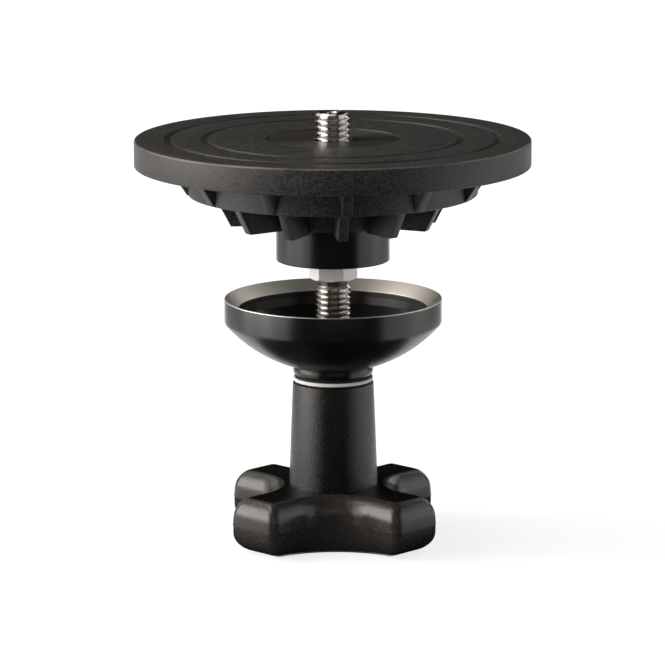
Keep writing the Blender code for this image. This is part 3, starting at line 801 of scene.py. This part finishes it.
add_thread(stud_shape, HEAD_RADIUS, HEAD_PITCH, HEAD_THREAD_START, STUD_TOP, HEAD_CHAMFERS)
add_thread(stud_shape, CLAMP_RADIUS, CLAMP_PITCH, STUD_BOTTOM, CLAMP_THREAD_END, CLAMP_CHAMFERS)
collar_shape = bmesh.new()
collar_radius = COLLAR_FLATS / math.sqrt(3)
bmesh.ops.create_cone(
    collar_shape,
    cap_ends=True,
    segments=6,
    radius1=collar_radius,
    radius2=collar_radius,
    depth=COLLAR_TOP - COLLAR_BOTTOM,
)
bmesh.ops.rotate(
    collar_shape,
    verts=collar_shape.verts,
    cent=(0, 0, 0),
    matrix=Matrix.Rotation(math.pi / 6 + COLLAR_TURN, 3, "Z"),
)
collar_middle = (COLLAR_TOP + COLLAR_BOTTOM) / 2
bmesh.ops.translate(collar_shape, verts=collar_shape.verts, vec=(0, 0, collar_middle))
bmesh.ops.subdivide_edges(
    collar_shape,
    edges=[e for e in collar_shape.edges if abs(e.verts[0].co.z - e.verts[1].co.z) < SAME_POINT],
    cuts=COLLAR_CUTS,
)
for vert in collar_shape.verts:
    across = math.hypot(vert.co.x, vert.co.y)
    if abs(vert.co.z - COLLAR_BOTTOM) < SAME_POINT:
        vert.co.z += max(0, across - COLLAR_FLATS / 2 + COLLAR_BEVEL_REACH) * math.tan(COLLAR_BEVEL)
for face in collar_shape.faces:
    face.material_index = 1
add_shape(stud_shape, collar_shape)
stud = finish_piece("threaded_stud", stud_shape, "adapter", "bright_steel", bright_steel, drawn_steel)
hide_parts("stud")


# Clamp cup
# A turned aluminium cup, black anodised, that bears on the underside of the tripod's bowl. Its rim is
# bevelled inside after anodising, so the bevel and its narrow top edge are bare metal with the tool's rings.

CUP_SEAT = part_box("clamp_cup")[0].z
CUP_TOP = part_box("clamp_cup")[1].z
CUP_RADIUS = 0.0295
CUP_BELLY = 0.039
BELT_BOTTOM = CUP_TOP - 0.006567
CUP_LIP = 0.0257
BELLY_CENTRE = BELT_BOTTOM + math.sqrt(CUP_BELLY**2 - CUP_RADIUS**2)
BOWL_BELLY = CUP_BELLY - 0.003
BOWL_FLOOR = CUP_SEAT + 0.0058
STUD_HOLE = 0.0053
FOOT_RADIUS = 0.0109
FOOT_BAND = 0.0008
FOOT_EDGE = 0.0003
FOOT_ROUNDING = 0.0004
BELLY_REACH = CUP_RADIUS - 0.0003
BELLY_STEPS = 24
BELT_EDGE = 0.0001
RIM_EDGE = 0.0002
RIM_FLAT = 0.0004
BEVEL_DEPTH = 0.0028
LIP_DEPTH = 0.0043
LIP_ROUNDING = 0.0003
BOWL_REACH = 0.0254
BOWL_STEPS = 14
BOWL_EDGE = 0.0002
CUP_SEGMENTS = 224


def arc_corners(radius, centre_height, first, last, steps):
    """Unrounded corners along an arc about a centre on Z, from one radius to another, below that centre."""
    corners = []
    for step in range(steps + 1):
        across = first + (last - first) * step / steps
        corners.append((across, centre_height - math.sqrt(radius**2 - across**2), 0))
    return corners


# Bare aluminium where the bevel was cut: grey and finely ringed, 0.2 mm apart.
bare_bevel = turned_finish(
    "turned_bare_aluminium",
    dark="#d9d4cc",
    light="#f2eee8",
    roughness=0.54,
    ring_spacing=0.0002,
    ring_depth=0.00002,
    metal=0.85,
    index=1.5,
    stretch=0.65,
)

cup_shape = bmesh.new()
bowl_floor_reach = math.sqrt(BOWL_BELLY**2 - (BELLY_CENTRE - BOWL_FLOOR) ** 2)
turn_outline(
    cup_shape,
    [
        (STUD_HOLE, CUP_SEAT, BOWL_EDGE),
        (FOOT_RADIUS - FOOT_EDGE, CUP_SEAT, FOOT_EDGE),
        (FOOT_RADIUS, CUP_SEAT + FOOT_BAND, FOOT_ROUNDING),
        (FOOT_RADIUS, CUP_SEAT + 2 * FOOT_BAND, FOOT_EDGE),
        *arc_corners(CUP_BELLY, BELLY_CENTRE, FOOT_RADIUS - FOOT_EDGE, BELLY_REACH, BELLY_STEPS),
        (CUP_RADIUS, BELT_BOTTOM + 2 * BELT_EDGE, BELT_EDGE),
        (CUP_RADIUS, CUP_TOP, RIM_EDGE),
        (CUP_RADIUS - RIM_FLAT, CUP_TOP, BELT_EDGE),
        (CUP_LIP, CUP_TOP - BEVEL_DEPTH, BOWL_EDGE),
        (CUP_LIP, CUP_TOP - LIP_DEPTH, LIP_ROUNDING),
        *arc_corners(BOWL_BELLY, BELLY_CENTRE, BOWL_REACH, bowl_floor_reach, BOWL_STEPS),
        (STUD_HOLE, BOWL_FLOOR, BOWL_EDGE),
    ],
    CUP_SEGMENTS,
)
for face in cup_shape.faces:
    middle = face.calc_center_median()
    across = math.hypot(middle.x, middle.y)
    bare_depth = RIM_EDGE if across > CUP_RADIUS - RIM_EDGE else BEVEL_DEPTH + 2 * HAIR
    if CUP_LIP - HAIR < across and middle.z > CUP_TOP - bare_depth:
        face.material_index = 1
cup = finish_piece("turned_cup", cup_shape, "cup", "anodised_cup", black_anodising, bare_bevel)
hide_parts("clamp_cup")


# Washers
# A black friction ring under the cup, and below it a white nylon thrust washer that bears on the handle.

THRUST_RADIUS = 0.0108
FRICTION_RADIUS = 0.0105
WASHER_EDGE = 0.0001
WASHER_SEGMENTS = 128


def washer(name, node, radius, body, slot, finish):
    """A flat ring round the stud, which takes its height from its solid."""
    low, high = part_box(node)
    corners = ((STUD_HOLE, low.z), (radius, low.z), (radius, high.z), (STUD_HOLE, high.z))
    shape = bmesh.new()
    turn_outline(shape, [(*corner, WASHER_EDGE) for corner in corners], WASHER_SEGMENTS)
    made = finish_piece(name, shape, body, slot, finish)
    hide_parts(node)


def plain_finish(name, dark, light, roughness, grain_size, relief, index):
    """A plain material with a fine even grain in its colour, gloss and relief."""
    made, tree, shader = new_finish(name)
    place = add_node(tree, "ShaderNodeTexCoord").outputs["Object"]
    grain = add_node(tree, "ShaderNodeTexVoronoi", {"Vector": place, "Scale": 1 / grain_size})
    cloud = add_node(tree, "ShaderNodeTexNoise", {"Vector": place, "Scale": 80, "Detail": 3})
    shade = add_node(
        tree,
        "ShaderNodeMix",
        {"Factor": grain.outputs["Color"], 6: linear(dark), 7: linear(light)},
        data_type="RGBA",
    )
    tree.links.new(shade.outputs[2], shader.inputs["Base Color"])
    dull = add_node(
        tree,
        "ShaderNodeMapRange",
        {"Value": cloud.outputs["Fac"], "To Min": roughness - 0.15, "To Max": roughness - 0.05},
    )
    sparkle = add_node(
        tree,
        "ShaderNodeMath",
        {0: grain.outputs["Color"], 1: 0.2, 2: dull.outputs[0]},
        operation="MULTIPLY_ADD",
    )
    tree.links.new(sparkle.outputs[0], shader.inputs["Roughness"])
    bumps = add_node(
        tree,
        "ShaderNodeBump",
        {"Height": grain.outputs["Distance"], "Strength": 1.0, "Distance": relief},
    )
    tree.links.new(bumps.outputs[0], shader.inputs["Normal"])
    shader.inputs["IOR"].default_value = index
    return made


# White nylon, punched from sheet: clean and slightly waxy.
white_nylon = plain_finish(
    "white_nylon_sheet",
    dark="#f2f0ec",
    light="#fbfaf7",
    roughness=0.4,
    grain_size=0.0005,
    relief=0.000005,
    index=1.53,
)

# Black fibre: a dull ring that hardly reflects.
black_fibre = plain_finish(
    "black_friction_fibre",
    dark="#0c0c0c",
    light="#161616",
    roughness=0.75,
    grain_size=0.0004,
    relief=0.00002,
    index=1.4,
)

washer("thrust_ring", "thrust_washer", THRUST_RADIUS, "thrust_washer", "white_nylon", white_nylon)
washer("friction_ring", "friction_washer", FRICTION_RADIUS, "friction_washer", "black_fibre", black_fibre)


# Handle
# One moulding in glass-filled nylon: a four-lobed star with a crisp edge round its flat top, rounded over to
# a parting line half way up, and a tapered neck with the bore that the stud runs down.

STAR_TOP = 0.01525
LOBE_REACH = 0.02835
LOBE_HALF_WIDTH = 0.0051
LOBE_CORNER = 0.0012
VALLEY_REACH = 0.0136
SHOULDER_RADIUS = 0.0061
SHOULDER_START = math.radians(25)
CORNER_GROWTH = 0.5
UNDERSIDE_LOBE_REACH = 0.0262
UNDERSIDE_VALLEY_REACH = 0.0168
HANDLE_TURN = math.radians(0.8)
NECK_FOOT = 0.0121
NECK_TOP = 0.011
HANDLE_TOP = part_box("knob")[1].z
INSERT_FLANGE_SEAT = HANDLE_TOP - 0.0012
INSERT_POCKET = 0.0091
HANDLE_BORE = 0.0055
BORE_FLOOR = 0.005
EDGE_EASE = 0.00025
PARTING_STEP = 0.00006
DRAFT = 0.00012
LOBES = 4
LEVELS = 12
HOLLOW_STEPS = 12
CORNER_STEPS = 8
NECK_EDGE = 0.0005
INSERT_POCKET_EDGE = 0.0001
BORE_END_ROUNDING = 0.001
NECK_SEGMENTS = 128
HANDLE_CREASE = 19


def star_outline(outset, lobe_reach, valley_reach):
    """The points of one level of the star: four lobes with rounded corners, and the hollows between them."""
    side = LOBE_HALF_WIDTH + outset
    corner = LOBE_CORNER + CORNER_GROWTH * outset
    end = lobe_reach - corner
    half_turn = math.pi / LOBES
    centre = (valley_reach - side) / (1 - math.sin(half_turn))
    sweep = math.pi / 2 - half_turn
    if centre * math.cos(half_turn) > end:
        out = end * math.cos(half_turn) + side * math.sin(half_turn) - valley_reach
        across = end * math.sin(half_turn) - side * math.cos(half_turn)
        centre = valley_reach + (out**2 + across**2) / (2 * out)
        sweep = math.asin(across / (centre - valley_reach))
    points = []
    for lobe in range(LOBES):
        hollow = Matrix.Rotation(lobe * 2 * half_turn, 2)
        bend = centre - valley_reach
        for step in range(2 * HOLLOW_STEPS + 1):
            turn = sweep * (1 - step / HOLLOW_STEPS)
            points.append(hollow @ Vector((centre - bend * math.cos(turn), -bend * math.sin(turn))))
        along = Matrix.Rotation((lobe * 2 + 1) * half_turn, 2)
        for way in (-1, 1):
            for step in range(CORNER_STEPS + 1):
                turn = (way - 1) * math.pi / 4 + math.pi / 2 * step / CORNER_STEPS
                out = end + corner * math.cos(turn)
                across = way * (side - corner) + corner * math.sin(turn)
                points.append(along @ Vector((out, across)))
    return points


# Glass-filled nylon, moulded: black, with the satin grain of a spark-eroded mould, about 0.28 mm.
moulded_nylon = plain_finish(
    "moulded_glass_filled_nylon",
    dark="#020202",
    light="#0d0d0d",
    roughness=0.32,
    grain_size=0.00028,
    relief=0.00005,
    index=1.5,
)

# The same nylon where hands have rubbed the top's edge smooth, lighter in colour: partly wear, partly a
# painted highlight.
rubbed_nylon_painted_highlight = plain_finish(
    "rubbed_glass_filled_nylon_painted_highlight",
    dark="#2a2826",
    light="#3c3936",
    roughness=0.26,
    grain_size=0.00035,
    relief=0.00001,
    index=1.5,
)

handle_shape = bmesh.new()
edge = math.sin(SHOULDER_START)
overhang = SHOULDER_RADIUS * (1 - edge)
levels = []
for step in range(LEVELS + 1):
    angle = SHOULDER_START + (math.pi / 2 - SHOULDER_START) * step / LEVELS
    outset = SHOULDER_RADIUS * (math.sin(angle) - edge)
    drop = SHOULDER_RADIUS * (math.cos(SHOULDER_START) - math.cos(angle))
    levels.append((outset, drop))
upper_half = [(STAR_TOP, -EDGE_EASE), (STAR_TOP - EDGE_EASE / 4, -EDGE_EASE / 3)]
upper_half += [(STAR_TOP - drop, outset - DRAFT * outset / overhang) for outset, drop in levels[1:]]
upper_half += [(STAR_TOP / 2, overhang), (STAR_TOP / 2 - PARTING_STEP / 2, overhang - PARTING_STEP)]
outlines = [
    (height, star_outline(outset, LOBE_REACH + outset, VALLEY_REACH + outset))
    for height, outset in upper_half
]
for outset, drop in reversed(levels):
    share = outset / overhang
    outset -= (DRAFT + PARTING_STEP) * share
    lobe_reach = UNDERSIDE_LOBE_REACH + share * (LOBE_REACH + overhang - UNDERSIDE_LOBE_REACH)
    valley_reach = UNDERSIDE_VALLEY_REACH + share * (VALLEY_REACH + overhang - UNDERSIDE_VALLEY_REACH)
    outlines.append((drop, star_outline(outset, lobe_reach, valley_reach)))
loops = []
for height, outline in outlines:
    points = [handle_shape.verts.new((point.x, point.y, height)) for point in outline]
    loops.append([handle_shape.edges.new(pair) for pair in zip(points, points[1:] + points[:1])])
for upper, lower in zip(loops, loops[1:]):
    bridge = bmesh.ops.bridge_loops(handle_shape, edges=upper + lower)
    # The band round the top's edge takes the rubbed nylon, lighter both from wear and as a painted highlight.
    if upper is loops[0]:
        for face in bridge["faces"]:
            face.material_index = 1
bmesh.ops.edgeloop_fill(handle_shape, edges=loops[-1])

neck_shape = bmesh.new()
turn_outline(
    neck_shape,
    [
        (NECK_FOOT, STAR_TOP, 0),
        (NECK_TOP, HANDLE_TOP, NECK_EDGE),
        (INSERT_POCKET, HANDLE_TOP, INSERT_POCKET_EDGE),
        (INSERT_POCKET, INSERT_FLANGE_SEAT, 0),
        (HANDLE_BORE, INSERT_FLANGE_SEAT, 0),
        (HANDLE_BORE, BORE_FLOOR, BORE_END_ROUNDING),
        (0, BORE_FLOOR, 0),
    ],
    NECK_SEGMENTS,
    closed=False,
)
add_shape(handle_shape, neck_shape)
foot_edge = [
    e
    for e in handle_shape.edges
    if e.is_boundary and all(math.hypot(v.co.x, v.co.y) < NECK_FOOT + 0.0005 for v in e.verts)
]
bmesh.ops.triangle_fill(handle_shape, edges=loops[0] + foot_edge, use_beauty=True)
bmesh.ops.rotate(
    handle_shape,
    verts=handle_shape.verts,
    cent=(0, 0, 0),
    matrix=Matrix.Rotation(HANDLE_TURN, 3, "Z"),
)
handle = finish_piece(
    "moulded_handle",
    handle_shape,
    "handle",
    "moulded_nylon",
    moulded_nylon,
    rubbed_nylon_painted_highlight,
    crease=HANDLE_CREASE,
)
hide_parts("knob")


# Threaded insert
# A turned brass insert with a hexagon body, moulded into the neck, in its CAD shape. Its flange stands a
# little proud of the nylon.

# Brass, turned: yellow, with faint rings.
brass = turned_finish(
    "turned_brass",
    dark="#8d7638",
    light="#a68e4d",
    roughness=0.3,
    ring_spacing=0.0002,
    ring_depth=0.00001,
    metal=1.0,
    index=1.5,
)
insert_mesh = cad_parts["threaded_insert"].data
insert_mesh.materials.clear()
insert_mesh.materials.append(brass)
